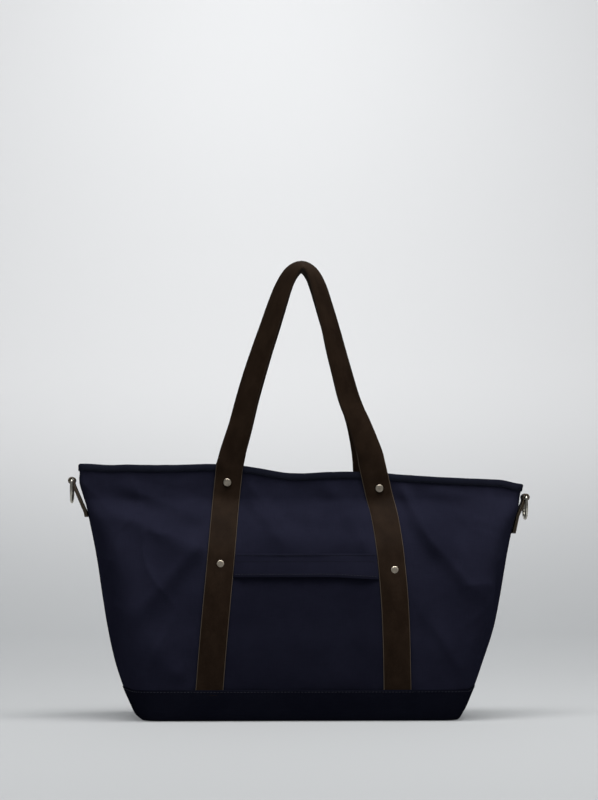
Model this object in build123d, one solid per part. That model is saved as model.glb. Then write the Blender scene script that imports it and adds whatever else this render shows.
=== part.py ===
from build123d import *
import os
from math import asin, atan, atan2, cos, degrees, hypot, pi, radians, sin

# A canvas weekender tote with riveted leather straps, a top zip, a flapped front pocket and a
# ring tab on each end. Millimetres. Origin: centre of the base on the floor. +Z up, the front
# faces -Y, the right-hand end is at +X.

# ---- body: outer size of the cloth, level by level ----
base_length = 392.0          # flat part that stands on the floor
base_depth = 144.0
edge_height = 10.0           # the base edge rolls up over this height
edge_length = 424.0
edge_depth = 160.0
seam_height = 38.0           # base panel ends here
seam_length = 450.0
seam_depth = 166.0
belly_height = 90.0
belly_length = 482.0
belly_depth = 168.0
waist_height = 150.0
waist_length = 508.0
waist_depth = 158.0
rim_mid_height = 311.5
collar_height = rim_mid_height - 31.5    # above this the mouth stands straight up
shoulder_height = collar_height - 32.0
shoulder_depth = 80.0
chest_height = shoulder_height - 38.0
chest_depth = 124.0
mouth_depth = 34.0
rim_length = 572.0           # along the rim, end to end
end_slope = 0.2055           # outward lean of the end walls above the chest, per mm of height
rim_tilt = 2.3               # degrees, the right-hand end lies lower
rim_overrun = 22.0           # body is made this much too tall, then cut at the rim

base_corner = 30.0           # plan corner radii
edge_corner = 36.0
seam_corner = 42.0
belly_corner = 52.0
waist_corner = 58.0
chest_corner = 44.0
shoulder_corner = 26.0
mouth_corner = 4.0

# ---- cloth and leather ----
canvas = 1.8
cloth_gap = 0.3
lining_cloth = 1.0
board_thickness = 3.0
board_margin = 0.5
binding_cloth = 0.7
binding_drop = 7.0
leather = 3.5
strap_width = 35.0
strap_lift = 0.1             # strap clear of the canvas
handle_start = rim_mid_height + 8.5
handle_top = handle_start + 259.5        # centreline of the handle at its highest
back_handle_top = handle_top + 3.5
handle_bend = 18.3           # centreline radius over the top
handle_twist = 70.0          # degrees the strap turns from the rim to the top
joint_gap = 0.3

# strap centre lines seen from the front, each point as (height, x)
front_left_line = [(seam_height, -116.5), (handle_start, -93.0)]
front_right_line = [(seam_height, 122.0), (160.0, 118.0), (rim_mid_height - 56.5, 108.0), (handle_start, 93.0)]
back_left_line = [(seam_height, -116.5), (handle_start, -93.0)]
back_right_line = [(seam_height, 116.5), (handle_start, 85.0)]

# ---- front pocket and flap ----
flap_top = rim_mid_height - 106.5
pocket_height = flap_top - 13.0
pocket_cloth = 1.4
flap_drop = 27.0
flap_cloth = 1.4
flap_seam_height = 4.0
strap_side_gap = 0.4
inner_pocket_width = 168.0
inner_pocket_low = 110.0
inner_pocket_high = shoulder_height - 13.0

# ---- rivets ----
cap_radius = 5.0
cap_height = 2.2
shank_radius = 1.5
shank_gap = 0.1
washer_radius = 4.5
washer_height = 1.0
rivet_seat = 0.05            # cap clear of the leather
upper_rivet_drop = 16.5      # below the rim line
lower_rivet_drop = 121.0

# ---- ring tabs and rings ----
tab_width = 24.0
tab_leather = 2.5
tab_sewn = 16.0
tab_reach = 42.0             # sewn end to ring bar, up the wall
tab_stand = 9.4              # ring bar from the wall
tab_low_left = rim_mid_height - 49.5
tab_low_right = rim_mid_height - 70.5
tab_seat = 0.1
ring_wire = 2.0              # wire radius
ring_width = 30.0            # wire centre to wire centre
ring_drop = 27.0
ring_corner = 2.5
ring_play = 0.2

# ---- zip ----
zip_depth = 9.0              # tape below the rim
tape = 1.0
tape_gap = 0.8
chain_width = 2.5
chain_height = 2.6
chain_slit = 1.4
zip_left = -228.0            # the opening part of the zip
zip_right = 218.0
zip_break = 0.4
slider_rest = 256.0
slider_length = 14.0
slider_width = 9.0
slider_plate = 1.6
slider_play = 0.3
slider_web = 0.8
crown_length = 9.0
crown_width = 2.0
crown_window = 1.8
crown_bar = 1.0
pull_pin = 0.7
pull_length = 32.0
pull_width = 7.0
pull_neck = 6.2
pull_arm = 1.0
pull_side_gap = 0.4
stop_length = 3.0

big = 1000.0
top_height = rim_mid_height + rim_overrun
tilt = radians(rim_tilt)
rim_frame = Plane(
    origin=(0, 0, rim_mid_height), x_dir=(cos(tilt), 0, -sin(tilt)), z_dir=(sin(tilt), 0, cos(tilt))
)


def end_x(height):
    """Half length of the body above the chest, where the end walls are flat."""
    return rim_length / 2 - (rim_mid_height - height) * end_slope


# height, half length, half depth, corner radius
levels = [
    (0.0, base_length / 2, base_depth / 2, base_corner),
    (edge_height, edge_length / 2, edge_depth / 2, edge_corner),
    (seam_height, seam_length / 2, seam_depth / 2, seam_corner),
    (belly_height, belly_length / 2, belly_depth / 2, belly_corner),
    (waist_height, waist_length / 2, waist_depth / 2, waist_corner),
    (chest_height, end_x(chest_height), chest_depth / 2, chest_corner),
    (shoulder_height, end_x(shoulder_height), shoulder_depth / 2, shoulder_corner),
    (collar_height, end_x(collar_height), mouth_depth / 2, mouth_corner),
    (top_height, end_x(top_height), mouth_depth / 2, mouth_corner),
]


def size_at(height):
    """Half length, half depth and corner radius of the body at a height."""
    for low, high in zip(levels, levels[1:]):
        if height <= high[0]:
            share = (height - low[0]) / (high[0] - low[0])
            return [a + (b - a) * share for a, b in zip(low[1:], high[1:])]
    return list(levels[-1][1:])


def body(grow, low, high):
    """Solid of the body's shape between two heights, its walls moved out level by grow."""
    heights = [low] + [row[0] for row in levels if low < row[0] < high] + [high]
    sections = []
    for height in heights:
        half_length, half_depth, corner = size_at(height)
        outline = RectangleRounded(
            2 * (half_length + grow), 2 * (half_depth + grow), max(corner + grow, 0.6)
        )
        sections.append(Pos(0, 0, height) * outline)
    return loft(sections, ruled=True)


def slab(low, high):
    """Everything between two levels measured from the tilted rim."""
    return rim_frame * Pos(0, 0, (low + high) / 2) * Box(big, big, high - low)


def half_space(front):
    side = -1 if front else 1
    return Pos(0, side * big / 2, 0) * Box(big, big, big * 2)


def rim_height(x):
    return rim_mid_height - x * sin(tilt) / cos(tilt)


# ---- layers lying on the front wall ----
def wall_line(lift_at_mouth):
    """Front wall seen from the end: (distance in front of the middle, height)."""
    return [
        (row[2] + (lift_at_mouth if row[0] >= collar_height else 0.0), row[0]) for row in levels[1:]
    ]


def moved_out(line, distance):
    """The line moved out by a distance square to itself, corners kept sharp."""
    normals = []
    for (d0, h0), (d1, h1) in zip(line, line[1:]):
        length = hypot(d1 - d0, h1 - h0)
        normals.append(((h1 - h0) / length, (d0 - d1) / length))
    ends = [normals[0]] + normals + [normals[-1]]
    out = []
    for (d, h), (nd, nh), (md, mh) in zip(line, ends, ends[1:]):
        share = distance / (1 + nd * md + nh * mh)
        out.append((d + (nd + md) * share, h + (nh + mh) * share))
    return out


def layer(inner, outer, lift_at_mouth=0.0):
    """A sheet over the whole front wall, between two distances out from the canvas."""
    line = wall_line(lift_at_mouth)
    ring = moved_out(line, inner) + moved_out(line, outer)[::-1]
    sheet = make_face(Polyline([(-depth, height) for depth, height in ring], close=True))
    return extrude(Plane.YZ * sheet, amount=big / 2, both=True)


def outline_prism(points):
    """A shape drawn on the front view, run through the whole depth."""
    return extrude(Plane.XZ * make_face(Polyline(points, close=True)), amount=big / 2, both=True)


def line_x(line, height):
    """Where a strap's centre line is at a height."""
    for (h0, x0), (h1, x1) in zip(line, line[1:]):
        if height <= h1:
            return x0 + (x1 - x0) * (height - h0) / (h1 - h0)
    return line[-1][1]


def strap_edge(line, low, high, shift):
    """Points up one edge of a strap between two heights."""
    heights = [low] + [h for h, _ in line if low < h < high] + [high]
    return [(line_x(line, height) + shift, height) for height in heights]


def wall_frame(x, height):
    """Plane on the front canvas at a point, its Z square out of the wall."""
    line = wall_line(0.0)
    for (d0, h0), (d1, h1) in zip(line, line[1:]):
        if h0 <= height <= h1:
            depth = d0 + (d1 - d0) * (height - h0) / (h1 - h0)
            return Plane(origin=(x, -depth, height), x_dir=(1, 0, 0), z_dir=(0, -(h1 - h0), d0 - d1))
    return Plane(origin=(x, -mouth_depth / 2, height), x_dir=(1, 0, 0), z_dir=(0, -1, 0))


def to_back(shape):
    return mirror(shape, about=Plane.XZ)


def to_left(shape):
    return mirror(shape, about=Plane.YZ)


mouth_lift = binding_cloth + strap_lift


def rivet_places(lines):
    """Frames of the four rivets of one pair of straps, with the leather's lift at each."""
    places = []
    for line in lines:
        for drop in (upper_rivet_drop, lower_rivet_drop):
            height = rim_height(line[-1][1]) - drop
            lift = mouth_lift if height >= collar_height else strap_lift
            places.append((wall_frame(line_x(line, height), height), lift))
    return places


def rivet_holes(places):
    reach = leather + 3 * canvas + 2 * lining_cloth
    return [frame * Cylinder(shank_radius + shank_gap, 2 * reach) for frame, _ in places]


def drilled(shape, places):
    for hole in rivet_holes(places):
        shape = shape - hole
    return shape


front_places = rivet_places([front_left_line, front_right_line])
back_places = rivet_places([back_left_line, back_right_line])
back_holes = [to_back(hole) for hole in rivet_holes(back_places)]


def drilled_back(shape):
    for hole in back_holes:
        shape = shape - hole
    return shape


# ---- canvas body ----
def make_canvas():
    shell = body(0, seam_height, top_height) - body(-canvas, seam_height, top_height)
    shell = shell & slab(-big / 2, 0)
    front = drilled(shell & half_space(True), front_places)
    back = drilled_back(shell & half_space(False))
    return front, back


def make_base():
    return body(0, 0, seam_height) - body(-canvas, canvas, seam_height)


def make_board():
    low = canvas + cloth_gap
    half_length, half_depth, corner = size_at(low)
    inset = canvas + board_margin
    plate = RectangleRounded(2 * (half_length - inset), 2 * (half_depth - inset), corner - inset)
    return Pos(0, 0, low) * extrude(plate, amount=board_thickness)


lining_low = canvas + 2 * cloth_gap + board_thickness
lining_out = canvas + cloth_gap
lining_in = lining_out + lining_cloth


def make_lining():
    shell = body(-lining_out, lining_low, top_height) - body(
        -lining_in, lining_low + lining_cloth, top_height
    )
    return drilled_back(drilled(shell & slab(-big / 2, 0), front_places))


def make_inner_pocket():
    """Slip pocket lying on the inside of the back lining."""
    heights = [inner_pocket_low, waist_height, chest_height, inner_pocket_high]
    near = [(size_at(h)[1] - lining_in - cloth_gap, h) for h in heights]
    far = [(depth - lining_cloth, h) for depth, h in near[::-1]]
    sheet = make_face(Polyline(near + far, close=True))
    pocket = extrude(Plane.YZ * sheet, amount=inner_pocket_width / 2, both=True)
    return drilled_back(pocket)


def make_binding():
    outside = (body(binding_cloth, seam_height, top_height) - body(0, seam_height, top_height)) & slab(
        -binding_drop, 0
    )
    cap = (
        body(binding_cloth, seam_height, top_height) - body(-lining_in, seam_height, top_height)
    ) & slab(0, binding_cloth)
    return outside + cap


# ---- pocket and flap ----
def between_straps(low, high):
    """Front-view outline between the two straps, from one height to another."""
    edge = strap_width / 2 + strap_side_gap
    right = strap_edge(front_right_line, low, high, -edge)
    left = strap_edge(front_left_line, low, high, edge)
    return outline_prism(right + left[::-1])


pocket_out = cloth_gap + pocket_cloth
flap_in = pocket_out + cloth_gap
flap_out = flap_in + flap_cloth


def make_pocket():
    return layer(cloth_gap, pocket_out) & between_straps(seam_height + cloth_gap, pocket_height)


def make_flap():
    return layer(flap_in, flap_out) & between_straps(flap_top - flap_drop, flap_top)


def make_flap_seam():
    low = flap_top + joint_gap
    return layer(strap_lift, flap_out) & between_straps(low, low + flap_seam_height)


# ---- straps and handles ----
def make_strap(line, places, back=False):
    low = seam_height + joint_gap
    half = strap_width / 2
    right = strap_edge(line, low, handle_start, half)
    left = strap_edge(line, low, handle_start, -half)
    outline = outline_prism(right + left[::-1])
    strap = drilled(layer(strap_lift, strap_lift + leather, mouth_lift - strap_lift) & outline, places)
    return to_back(strap) if back else strap


handle_y = mouth_depth / 2 + mouth_lift + leather / 2
leg_steps = 8
arc_steps = 4
leg_tail = 14.0              # made this much too long, then cut level at the joint
leg_straight = 2.5           # the strap turns only above this


def handle_half(foot_x, top):
    """Points and directions up one leg and over to the top, as (x, z, lean from upright)."""
    centre = top - handle_bend
    away = hypot(foot_x, centre - handle_start)
    lean = atan2(foot_x, centre - handle_start) - asin(handle_bend / away)
    leg = (away**2 - handle_bend**2) ** 0.5
    runs = [leg_straight + (leg - leg_straight) * step / leg_steps for step in range(leg_steps + 1)]
    rows = []
    for run in [-leg_tail] + runs:
        rows.append((foot_x - run * sin(lean), handle_start + run * cos(lean), lean, run))
    for step in range(1, arc_steps + 1):
        turn = lean + (pi / 2 - lean) * step / arc_steps
        run = leg + handle_bend * (turn - lean)
        rows.append((handle_bend * cos(turn), centre + handle_bend * sin(turn), turn, run))
    return rows


def make_handle(lines, top):
    """Flat strap that turns as it climbs, so that it lies nearly level over the top."""
    sections = []
    for side, line in zip((-1, 1), lines):
        rows = handle_half(abs(line[-1][1]), top)
        length = rows[-1][3]
        if side == 1:
            rows = rows[-2::-1]
        for x, z, turn, run in rows:
            twist = radians(handle_twist) * max(run - leg_straight, 0) / (length - leg_straight)
            along = Vector(sin(turn), 0, -side * cos(turn))
            inward = Vector(-side * cos(turn), 0, -sin(turn))
            wide = inward * cos(twist) + Vector(0, -1, 0) * sin(twist)
            plane = Plane(origin=(side * x, -handle_y, z), x_dir=wide, z_dir=along)
            sections.append(plane * Rectangle(strap_width, leather))
    strap = loft(sections, ruled=True)
    return strap & (Pos(0, 0, handle_start + joint_gap + big / 2) * Box(big, big, big))


# ---- rivets ----
def make_rivets(places):
    caps, washers = [], []
    for frame, lift in places:
        seat = lift + leather + rivet_seat
        cap = Pos(0, 0, seat + cap_height / 2) * Cylinder(cap_radius, cap_height)
        cap = fillet(cap.edges().sort_by(Axis.Z)[-1], cap_height * 0.6)
        depth = lining_in + washer_height
        shank = Pos(0, 0, (seat - depth) / 2) * Cylinder(shank_radius, seat + depth)
        caps.append(frame * (cap + shank))
        disc = Pos(0, 0, -lining_in - rivet_seat - washer_height / 2) * (
            Cylinder(washer_radius, washer_height) - Cylinder(shank_radius + shank_gap, washer_height)
        )
        washers.append(frame * disc)
    return caps, washers


# ---- ring tabs and rings, built at the right-hand end ----
lean_angle = atan(end_slope)


def tab_frame(low):
    return Plane(
        origin=(end_x(low), 0, low), x_dir=(cos(lean_angle), 0, -sin(lean_angle)), z_dir=(0, -1, 0)
    )


def make_tab(low):
    thick = 2 * tab_leather
    wrap = ring_wire + ring_play + tab_leather
    knee = tab_seat + thick
    tail = make_face(
        Polyline(
            [
                (tab_seat, 0),
                (knee, 0),
                (knee, tab_sewn),
                (tab_stand + wrap * 0.7, tab_reach - wrap * 0.7),
                (tab_stand - wrap * 0.95, tab_reach - wrap * 0.2),
                (tab_seat, tab_sewn),
            ],
            close=True,
        )
    )
    loop = Pos(tab_stand, tab_reach) * Circle(wrap)
    hole = Pos(tab_stand, tab_reach) * Circle(ring_wire + ring_play)
    return extrude(tab_frame(low) * (tail + loop - hole), amount=tab_width / 2, both=True)


def ring_place(low):
    return tab_frame(low).from_local_coords(Vector(tab_stand, tab_reach, 0))


def make_ring(low):
    half = ring_width / 2
    round_low = -(ring_drop - half)
    path = Wire(
        [
            Edge.make_line((-half + ring_corner, 0), (half - ring_corner, 0)),
            CenterArc((half - ring_corner, -ring_corner), ring_corner, 90, -90).edge(),
            Edge.make_line((half, -ring_corner), (half, round_low)),
            CenterArc((0, round_low), half, 0, -180).edge(),
            Edge.make_line((-half, round_low), (-half, -ring_corner)),
            CenterArc((-half + ring_corner, -ring_corner), ring_corner, 180, -90).edge(),
        ]
    )
    place = ring_place(low)
    plane = Plane(origin=place, x_dir=(0, 1, 0), z_dir=(1, 0, 0))
    start = Plane(origin=(-half + ring_corner, 0, 0), z_dir=(1, 0, 0)) * Circle(ring_wire)
    return plane * sweep(start, path=path)


# ---- zip, drawn on the rim and moved there ----
def on_rim(shape):
    return rim_frame * Pos(0, 0, -zip_depth) * shape


def bar(u0, u1, v0, v1, w0, w1):
    return Pos((u0 + u1) / 2, (v0 + v1) / 2, (w0 + w1) / 2) * Box(u1 - u0, v1 - v0, w1 - w0)


mouth_inside = mouth_depth / 2 - lining_in
chain_outer = chain_slit / 2 + chain_width


def end_inside(side):
    """Where the lining's end wall stands, measured along the zip."""
    height = rim_height(side * rim_length / 2) - zip_depth
    return (end_x(height) - lining_in - chain_height * end_slope - cloth_gap) / cos(tilt)


def make_zip_half(side):
    outer = mouth_inside - tape_gap
    tape_half = bar(zip_left, zip_right, chain_outer, outer, -tape / 2, tape / 2)
    chain = bar(zip_left, zip_right, chain_slit / 2, chain_outer, -chain_height / 2, chain_height / 2)
    if side == -1:
        tape_half, chain = to_back(tape_half), to_back(chain)
    return on_rim(tape_half), on_rim(chain)


def make_zip_end(side):
    """Closed end of the zip: tape on both sides of the slit, two chain rows and a stop."""
    near = zip_right + zip_break if side == 1 else -zip_left + zip_break
    far = end_inside(side)
    stop = far - stop_length
    tapes, rows = [], []
    for v_side in (-1, 1):
        outer = mouth_inside - cloth_gap
        low, high = sorted((v_side * chain_outer, v_side * outer))
        tapes.append(bar(near, far, low, high, -tape / 2, tape / 2))
        low, high = sorted((v_side * chain_slit / 2, v_side * chain_outer))
        rows.append(bar(near, stop, low, high, -chain_height / 2, chain_height / 2))
    block = bar(stop, far, -chain_outer, chain_outer, -chain_height / 2, chain_height / 2)
    if side == -1:
        tapes, rows, block = [to_left(s) for s in tapes], [to_left(s) for s in rows], to_left(block)
    return [on_rim(s) for s in tapes], [on_rim(s) for s in rows], on_rim(block)


plate_low = chain_height / 2 + slider_play
plate_high = plate_low + slider_plate
pin_height = plate_high + crown_window / 2


def make_slider():
    half = slider_length / 2
    wide = slider_width / 2
    lip = chain_outer + slider_play
    tape_slot = tape / 2 + slider_play
    slider = bar(-half, half, -slider_web / 2, slider_web / 2, -plate_low, plate_low)
    for up in (-1, 1):
        low, high = sorted((up * plate_low, up * plate_high))
        plate = bar(-half, half, -wide, wide, low, high)
        plate = fillet(plate.edges().filter_by(Axis.Z), wide * 0.5)
        slider = slider + plate
        low, high = sorted((up * tape_slot, up * plate_low))
        lip_length = half - wide * 0.5
        for v_side in (-1, 1):
            near, away = sorted((v_side * lip, v_side * wide))
            slider = slider + bar(-lip_length, lip_length, near, away, low, high)
    crown = bar(
        -crown_length / 2, crown_length / 2, -crown_width / 2, crown_width / 2, plate_high,
        plate_high + crown_window + crown_bar,
    )
    window = crown_length / 2 - crown_bar * 1.2
    crown = crown - bar(-window, window, -crown_width, crown_width, plate_high, plate_high + crown_window)
    return on_rim(Pos(slider_rest, 0, 0) * (slider + crown))


def make_pull():
    inner = crown_width / 2 + pull_side_gap
    outer = inner + pull_arm
    pin = Rot(90, 0, 0) * Cylinder(pull_pin, 2 * outer)
    pull = pin
    for v_side in (-1, 1):
        near, away = sorted((v_side * inner, v_side * outer))
        pull = pull + bar(-pull_neck, 0, near, away, -pull_pin, pull_pin)
    blade = bar(-pull_length, -pull_neck + 1, -pull_width / 2, pull_width / 2, -pull_pin, pull_pin)
    blade = fillet(blade.edges().filter_by(Axis.Z).group_by(Axis.X)[0], pull_width * 0.45)
    pull = pull + blade
    return on_rim(Pos(slider_rest, 0, pin_height) * pull)


def build_all():
    nodes = {}
    nodes["front_panel"], nodes["back_panel"] = make_canvas()
    nodes["base_panel"] = make_base()
    nodes["base_board"] = make_board()
    nodes["lining"] = make_lining()
    nodes["inner_pocket"] = make_inner_pocket()
    nodes["rim_binding"] = make_binding()
    nodes["front_pocket"] = make_pocket()
    nodes["pocket_flap"] = make_flap()
    nodes["flap_seam"] = make_flap_seam()
    nodes["front_strap_left"] = make_strap(front_left_line, front_places)
    nodes["front_strap_right"] = make_strap(front_right_line, front_places)
    nodes["back_strap_left"] = make_strap(back_left_line, back_places, back=True)
    nodes["back_strap_right"] = make_strap(back_right_line, back_places, back=True)
    nodes["front_handle"] = make_handle([front_left_line, front_right_line], handle_top)
    nodes["back_handle"] = to_back(make_handle([back_left_line, back_right_line], back_handle_top))
    nodes["front_rivets"], nodes["front_rivet_washers"] = make_rivets(front_places)
    caps, washers = make_rivets(back_places)
    nodes["back_rivets"] = [to_back(s) for s in caps]
    nodes["back_rivet_washers"] = [to_back(s) for s in washers]
    nodes["d_ring_tab_right"] = make_tab(tab_low_right)
    nodes["d_ring_tab_left"] = to_left(make_tab(tab_low_left))
    nodes["d_ring_right"] = make_ring(tab_low_right)
    nodes["d_ring_left"] = to_left(make_ring(tab_low_left))
    nodes["zip_tape_front"], nodes["zip_teeth_front"] = make_zip_half(-1)
    nodes["zip_tape_back"], nodes["zip_teeth_back"] = make_zip_half(1)
    left_tapes, left_rows, left_stop = make_zip_end(-1)
    right_tapes, right_rows, right_stop = make_zip_end(1)
    nodes["zip_end_tape_left"], nodes["zip_end_tape_right"] = left_tapes, right_tapes
    nodes["zip_end_teeth_left"], nodes["zip_end_teeth_right"] = left_rows, right_rows
    nodes["zip_stops"] = [left_stop, right_stop]
    nodes["zip_slider"] = make_slider()
    nodes["zip_pull"] = make_pull()
    return nodes


os.makedirs("parts", exist_ok=True)
for name, shape in build_all().items():
    pieces = shape if isinstance(shape, list) else [shape]
    solids = [solid for piece in pieces for solid in piece.solids()]
    whole = solids[0] if len(solids) == 1 else Compound(children=solids)
    export_step(whole, f"parts/{name}.step")
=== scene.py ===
from math import cos, exp, hypot, pi, radians, sin, tan

import bpy
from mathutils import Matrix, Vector, noise


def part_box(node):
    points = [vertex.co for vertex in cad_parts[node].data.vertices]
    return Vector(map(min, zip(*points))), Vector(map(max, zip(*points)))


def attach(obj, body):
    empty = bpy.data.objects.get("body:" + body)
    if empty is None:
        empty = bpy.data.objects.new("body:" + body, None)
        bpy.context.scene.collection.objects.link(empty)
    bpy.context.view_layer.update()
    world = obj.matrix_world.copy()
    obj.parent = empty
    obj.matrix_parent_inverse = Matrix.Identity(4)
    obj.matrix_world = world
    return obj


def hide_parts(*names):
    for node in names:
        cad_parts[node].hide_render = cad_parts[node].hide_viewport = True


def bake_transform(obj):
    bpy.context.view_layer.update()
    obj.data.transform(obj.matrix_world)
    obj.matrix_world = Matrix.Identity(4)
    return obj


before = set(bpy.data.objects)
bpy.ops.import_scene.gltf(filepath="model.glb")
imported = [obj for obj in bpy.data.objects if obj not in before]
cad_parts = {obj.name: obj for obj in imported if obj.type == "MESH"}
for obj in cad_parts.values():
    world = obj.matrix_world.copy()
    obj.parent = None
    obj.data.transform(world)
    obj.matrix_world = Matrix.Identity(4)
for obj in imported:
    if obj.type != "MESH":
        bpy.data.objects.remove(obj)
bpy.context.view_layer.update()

bpy.ops.object.select_all(action="DESELECT")
print("frame loaded")

# the bag's outer shape, in metres
bagForm = {
    # height, half length, half depth, how far the end wall is drawn in at its corner, corner softness
    "levels": [
        (0.0, 0.2060, 0.074, 0.010, 0.024),
        (0.008, 0.2112, 0.079, 0.012, 0.025),
        (0.038, 0.2245, 0.083, 0.017, 0.022),
        (0.090, 0.2415, 0.084, 0.023, 0.020),
        (0.120, 0.2490, 0.082, 0.024, 0.022),
        (0.150, 0.2545, 0.079, 0.024, 0.024),
        (0.210, 0.2645, 0.063, 0.018, 0.026),
        (0.248, 0.2725, 0.041, 0.009, 0.020),
        (0.280, 0.2796, 0.0185, 0.002, 0.010),
        (0.300, 0.2845, 0.017, 0.0015, 0.006),
        (0.320, 0.2860, 0.017, 0.0015, 0.006),
        (0.335, 0.2862, 0.017, 0.0015, 0.006),
    ],
    # height, how far the whole section stands to the right
    "lean": [(0.0, -0.0022), (0.06, -0.0020), (0.12, 0.0006), (0.20, 0.0016), (0.28, 0.0018), (0.33, 0.0014)],
    "seam": 0.038,
    "rimMid": 0.3115,
    "rimTilt": 2.3,
    "waves": [(-0.100, 0.060, 0.0052), (-0.012, 0.036, -0.0036), (0.080, 0.060, 0.0026), (-0.262, 0.030, -0.0026)],
    "cloth": 0.0014,
    "rows": 128,
    "columns": (96, 10, 8),  # flat part, rounded corner, end wall
}

# centre lines of the straps on the walls: height, x
strapLines = {
    "frontLeft": [(0.030, -0.1174), (0.10, -0.1120), (0.20, -0.1030), (0.28, -0.0960), (0.318, -0.0920)],
    "frontRight": [
        (0.030, 0.1176), (0.12, 0.1158), (0.20, 0.1112), (0.255, 0.1052), (0.29, 0.0977), (0.318, 0.0914),
    ],
    "backLeft": [(0.030, -0.1172), (0.12, -0.1098), (0.20, -0.1032), (0.28, -0.0965), (0.318, -0.0930)],
    "backRight": [(0.030, 0.1172), (0.12, 0.1080), (0.20, 0.0995), (0.28, 0.0895), (0.318, 0.0850)],
}

# soft folds in the walls: x and height of each end, spread on each side, height of the ridge
frontFolds = [
    (-0.245, 0.262, -0.120, 0.212, 0.013, 0.022, 0.0034),
    (-0.215, 0.290, -0.130, 0.262, 0.012, 0.016, 0.0016),
    (-0.148, 0.205, -0.200, 0.140, 0.020, 0.014, 0.0026),
    (-0.205, 0.118, -0.165, 0.062, 0.016, 0.020, 0.0018),
    (-0.140, 0.150, -0.150, 0.060, 0.012, 0.016, 0.0012),
    (-0.070, 0.286, -0.035, 0.238, 0.014, 0.012, 0.0024),
    (-0.030, 0.278, 0.030, 0.250, 0.016, 0.016, 0.0016),
    (0.040, 0.285, 0.075, 0.228, 0.015, 0.012, 0.0020),
    (-0.078, 0.232, 0.060, 0.224, 0.012, 0.014, 0.0012),
    (0.128, 0.286, 0.162, 0.226, 0.013, 0.012, 0.0028),
    (0.162, 0.245, 0.215, 0.165, 0.020, 0.016, 0.0026),
    (0.180, 0.285, 0.255, 0.268, 0.012, 0.016, 0.0018),
    (0.150, 0.140, 0.200, 0.075, 0.020, 0.022, 0.0014),
    (0.225, 0.215, 0.240, 0.120, 0.014, 0.018, 0.0016),
    (-0.228, 0.256, -0.128, 0.214, 0.0045, 0.011, 0.0011),
    (-0.200, 0.281, -0.150, 0.262, 0.005, 0.009, 0.0008),
    (-0.156, 0.196, -0.196, 0.151, 0.005, 0.010, 0.0009),
    (-0.058, 0.284, -0.026, 0.246, 0.008, 0.0045, 0.0009),
    (-0.012, 0.262, 0.034, 0.268, 0.0045, 0.009, 0.0006),
    (0.070, 0.300, 0.077, 0.262, 0.005, 0.008, 0.0008),
    (0.137, 0.272, 0.152, 0.240, 0.006, 0.0045, 0.0010),
    (0.150, 0.236, 0.200, 0.178, 0.005, 0.010, 0.0010),
    (0.234, 0.298, 0.240, 0.276, 0.005, 0.006, 0.0007),
    (0.188, 0.262, 0.236, 0.246, 0.005, 0.009, 0.0007),
    (-0.168, 0.118, -0.190, 0.072, 0.005, 0.009, 0.0007),
    (0.168, 0.108, 0.196, 0.066, 0.009, 0.005, 0.0008),
]
backFolds = [
    (-0.240, 0.250, -0.130, 0.205, 0.014, 0.020, 0.0030),
    (-0.190, 0.160, -0.150, 0.070, 0.016, 0.020, 0.0020),
    (-0.060, 0.282, 0.010, 0.226, 0.014, 0.016, 0.0026),
    (0.020, 0.190, -0.030, 0.090, 0.022, 0.018, 0.0018),
    (0.060, 0.160, 0.075, 0.070, 0.016, 0.014, 0.0014),
    (0.125, 0.280, 0.190, 0.210, 0.014, 0.014, 0.0030),
    (0.235, 0.240, 0.165, 0.150, 0.018, 0.020, 0.0024),
]


def ease(value, low, high):
    share = min(max((value - low) / (high - low), 0.0), 1.0)
    return share * share * (3 - 2 * share)


def curveAt(rows, height, column=1):
    # smooth curve through the rows, with no overshoot
    if height <= rows[0][0]:
        return rows[0][column]
    if height >= rows[-1][0]:
        return rows[-1][column]
    index = max(i for i, row in enumerate(rows[:-1]) if row[0] <= height)

    def slope(i):
        return (rows[i + 1][column] - rows[i][column]) / (rows[i + 1][0] - rows[i][0])

    def tangent(i):
        if i == 0 or i == len(rows) - 1:
            return slope(0 if i == 0 else i - 1)
        before, after = slope(i - 1), slope(i)
        return 0.0 if before * after <= 0 else 2 * before * after / (before + after)

    low, high = rows[index], rows[index + 1]
    span = high[0] - low[0]
    t = (height - low[0]) / span
    a, b = low[column], high[column]
    return (
        a * (1 + 2 * t) * (1 - t) ** 2
        + b * t * t * (3 - 2 * t)
        + span * (tangent(index) * t * (1 - t) ** 2 + tangent(index + 1) * t * t * (t - 1))
    )


def rimHeight(x):
    lift = sum(rise * exp(-(((x - place) / spread) ** 2)) for place, spread, rise in bagForm["waves"])
    lift *= ease(0.286 - abs(x), 0.0, 0.05)
    # both ends droop, the right one more
    lift = lift - 0.0042 * ease(x, 0.252, 0.286) - 0.0016 * ease(-x, 0.255, 0.286)
    return bagForm["rimMid"] - x * tan(radians(bagForm["rimTilt"])) + lift


def nearStrap(x, height, side):
    names = ("frontLeft", "frontRight") if side < 0 else ("backLeft", "backRight")
    return min(abs(x - curveAt(strapLines[name], height)) for name in names)


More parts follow.
